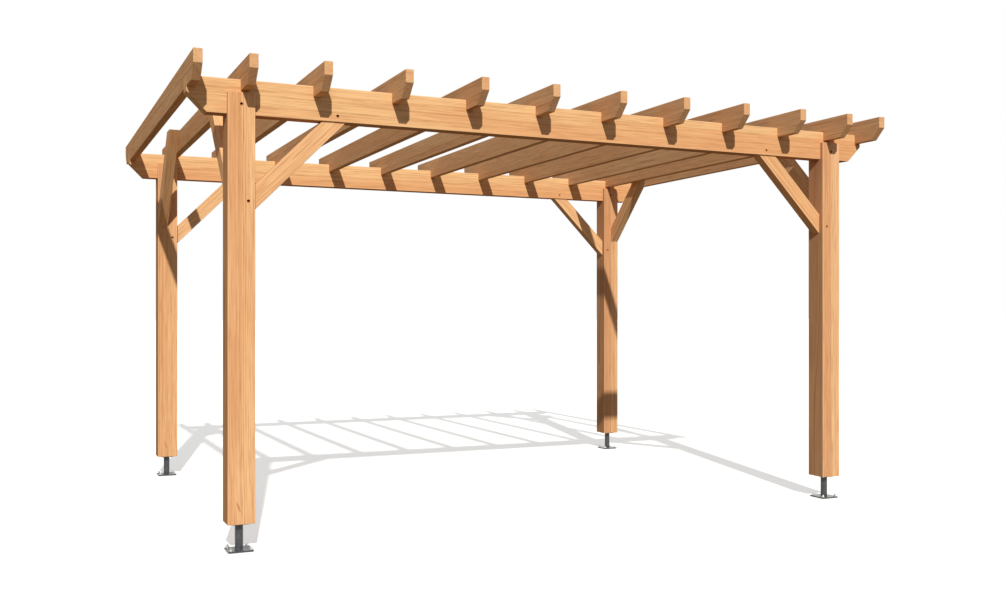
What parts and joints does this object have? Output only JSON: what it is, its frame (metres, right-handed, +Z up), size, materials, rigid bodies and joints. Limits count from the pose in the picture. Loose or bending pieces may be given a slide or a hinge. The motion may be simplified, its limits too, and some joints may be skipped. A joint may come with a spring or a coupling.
{
  "type": "wooden pergola",
  "caption": "Freestanding timber pergola: forked posts on steel feet carry two beams, notched rafters and 45 degree braces.",
  "frame": {"origin": "on the ground, in the middle of the footprint", "axes": "+X along the two beams, +Y from the front to the back along the rafters, +Z up"},
  "size_m": [4.4, 3.4, 2.511],
  "materials": {
    "post_timber": "planed softwood, oiled",
    "beam_timber": "planed softwood, oiled",
    "rafter_timber": "planed softwood, oiled",
    "brace_timber": "planed softwood, oiled",
    "foot_steel": "dark satin coat"
  },
  "bodies": {
    "root": {"post_front_left": "post_timber", "post_front_right": "post_timber", "post_back_left": "post_timber", "post_back_right": "post_timber", "foot_front_left": "foot_steel", "foot_front_right": "foot_steel", "foot_back_left": "foot_steel", "foot_back_right": "foot_steel", "beam_front": "beam_timber", "beam_back": "beam_timber", "rafter_01": "rafter_timber", "rafter_02": "rafter_timber", "rafter_03": "rafter_timber", "rafter_04": "rafter_timber", "rafter_05": "rafter_timber", "rafter_06": "rafter_timber", "rafter_07": "rafter_timber", "rafter_08": "rafter_timber", "rafter_09": "rafter_timber", "rafter_10": "rafter_timber", "rafter_11": "rafter_timber", "rafter_12": "rafter_timber", "brace_front_left_beam": "brace_timber", "brace_front_left_rafter": "brace_timber", "brace_front_right_beam": "brace_timber", "brace_front_right_rafter": "brace_timber", "brace_back_left_beam": "brace_timber", "brace_back_left_rafter": "brace_timber", "brace_back_right_beam": "brace_timber", "brace_back_right_rafter": "brace_timber"}
  },
  "joints": []
}
